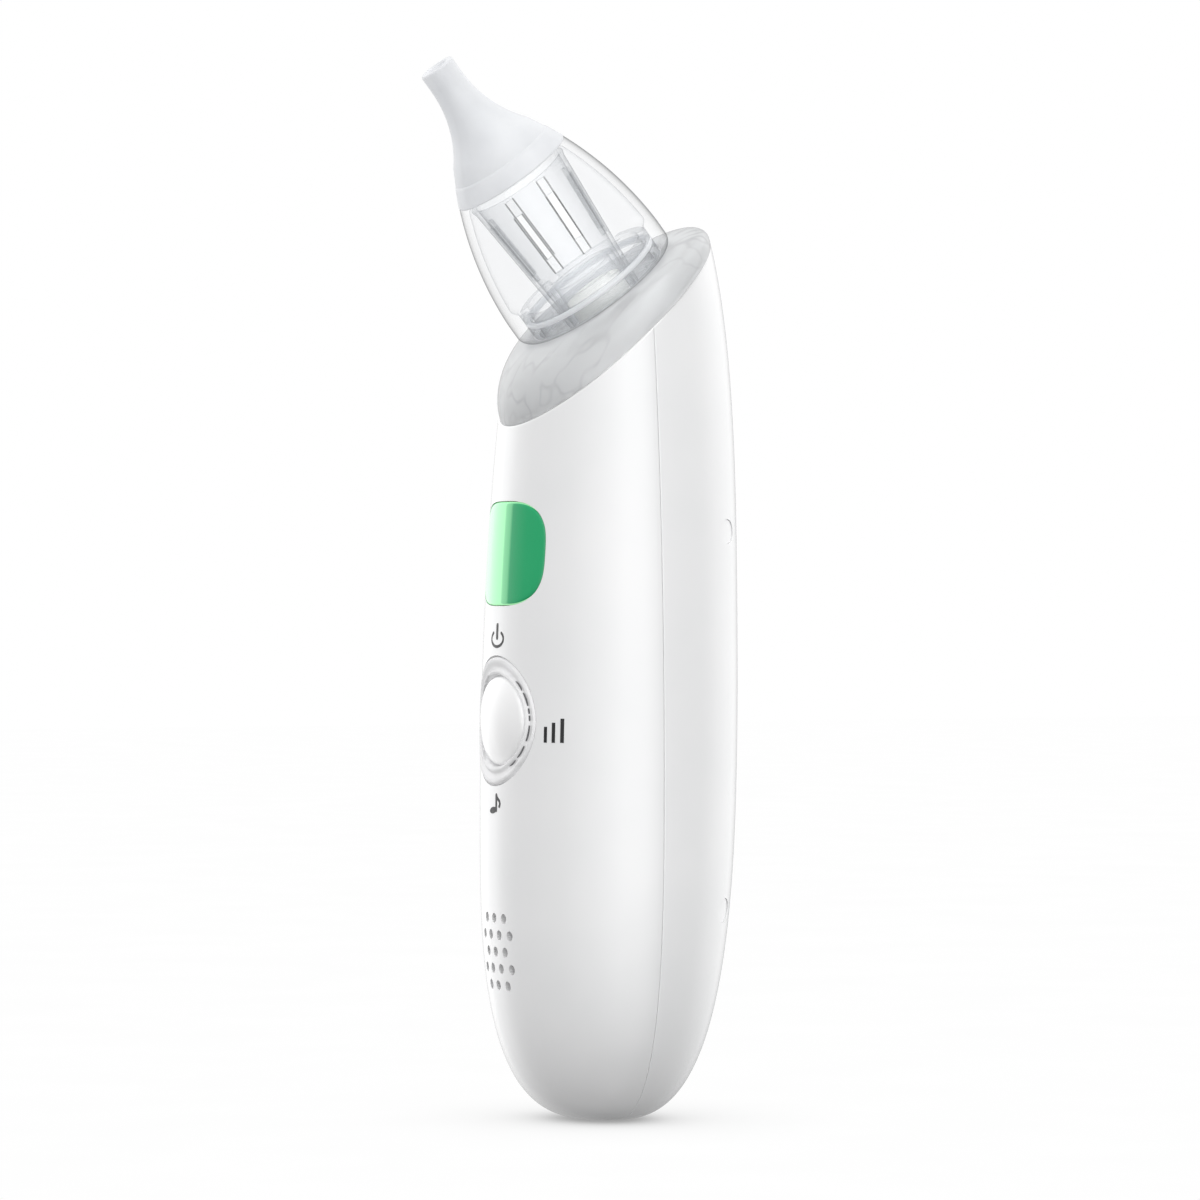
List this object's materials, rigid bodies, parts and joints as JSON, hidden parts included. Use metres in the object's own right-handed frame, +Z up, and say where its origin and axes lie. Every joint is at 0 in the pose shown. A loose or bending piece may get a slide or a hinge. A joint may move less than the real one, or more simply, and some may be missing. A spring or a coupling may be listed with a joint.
{
  "type": "nasal aspirator",
  "caption": "Handheld electric baby nasal aspirator with a display, a control ring, a speaker grille, a clear suction cup and a soft silicone nozzle on a leaning head.",
  "frame": {"origin": "middle of the charging port's mouth, level with the foot of the body, on the plane where the front and rear shells meet", "axes": "+Z up along the body, -Y towards the side with the display, X across the body; the head leans towards -Y"},
  "size_m": [0.0484, 0.0561, 0.18],
  "materials": {
    "white_shell": "glossy white moulded plastic",
    "white_plastic": "satin white plastic",
    "clear_plastic": "clear moulded plastic",
    "smoke_plastic": "translucent pale grey plastic",
    "silicone": "soft translucent silicone",
    "green_window": "glossy green window",
    "black_plastic": "matt black plastic",
    "glass": "polished glass",
    "board_green": "solder mask over glass fibre",
    "steel": "plated steel",
    "magnet": "dark ferrite",
    "copper": "copper windings and segments",
    "brass": "sintered bronze",
    "foil": "shrink film on the cell",
    "sponge": "open filter foam",
    "black_rubber": "black rubber",
    "paper_cone": "dark film cone"
  },
  "bodies": {
    "case": {"front_shell": "white_shell", "rear_shell": "white_shell", "case_screws": "steel", "screw_plugs": "white_shell", "display_window": "green_window", "lcd_glass": "glass", "lcd_backlight": "white_plastic", "switch_centre": "black_plastic", "switch_up": "black_plastic", "switch_down": "black_plastic", "switch_left": "black_plastic", "switch_right": "black_plastic", "main_board": "board_green", "control_chip": "black_plastic", "charge_chip": "black_plastic", "battery_connector": "white_plastic", "charge_board": "board_green", "charge_socket": "steel", "socket_tongue": "black_plastic", "speaker_basket": "steel", "speaker_magnet": "magnet", "speaker_cone": "paper_cone", "speaker_gasket": "black_rubber", "battery_cell": "foil", "battery_tray": "white_plastic", "motor_can": "steel", "motor_end_cap": "white_plastic", "magnet_left": "magnet", "magnet_right": "magnet", "bushing_top": "brass", "bushing_bottom": "brass", "motor_sleeve": "black_rubber", "pump_base": "white_plastic", "swash_plate": "black_plastic", "diaphragm": "black_rubber", "valve_plate": "white_plastic", "pump_cover": "white_plastic", "suction_tube": "silicone", "head_collar": "smoke_plastic", "deck_plate": "white_shell", "inlet_gasket": "silicone"},
    "rotor": {"motor_shaft": "steel", "armature": "copper", "commutator": "copper", "eccentric": "white_plastic"},
    "button": {"centre_button": "white_shell"},
    "ring_tilt": {"ring_carrier": "white_plastic"},
    "ring": {"control_ring": "clear_plastic"},
    "base": {"cup_base": "clear_plastic", "base_seal": "silicone", "filter_sponge": "sponge", "inner_sleeve": "clear_plastic"},
    "cup": {"suction_cup": "clear_plastic"},
    "nozzle": {"silicone_nozzle": "silicone"}
  },
  "joints": [
    {"name": "rotor_spin", "type": "hinge", "parent": "case", "child": "rotor", "pos_m": [0, 0.006, 0.075], "axis": [0, 0, 1], "continuous": true},
    {"name": "button_press", "type": "slide", "parent": "case", "child": "button", "axis": [0, 1, 0], "range_m": [0, 0.0005]},
    {"name": "ring_rock_up_down", "type": "hinge", "parent": "case", "child": "ring_tilt", "pos_m": [0, -0.018, 0.068], "axis": [1, 0, 0], "range_deg": [-2, 2]},
    {"name": "ring_rock_side", "type": "hinge", "parent": "ring_tilt", "child": "ring", "pos_m": [0, -0.018, 0.068], "axis": [0, 0, 1], "range_deg": [-2, 2]},
    {"name": "base_twist", "type": "hinge", "parent": "case", "child": "base", "pos_m": [0, -0.00113, 0.1406], "axis": [0, -0.6239, 0.7815], "range_deg": [0, 40]},
    {"name": "cup_pull", "type": "slide", "parent": "base", "child": "cup", "axis": [0, -0.6239, 0.7815], "range_m": [0, 0.03]},
    {"name": "nozzle_pull", "type": "slide", "parent": "cup", "child": "nozzle", "axis": [0, -0.6239, 0.7815], "range_m": [0, 0.018]}
  ]
}
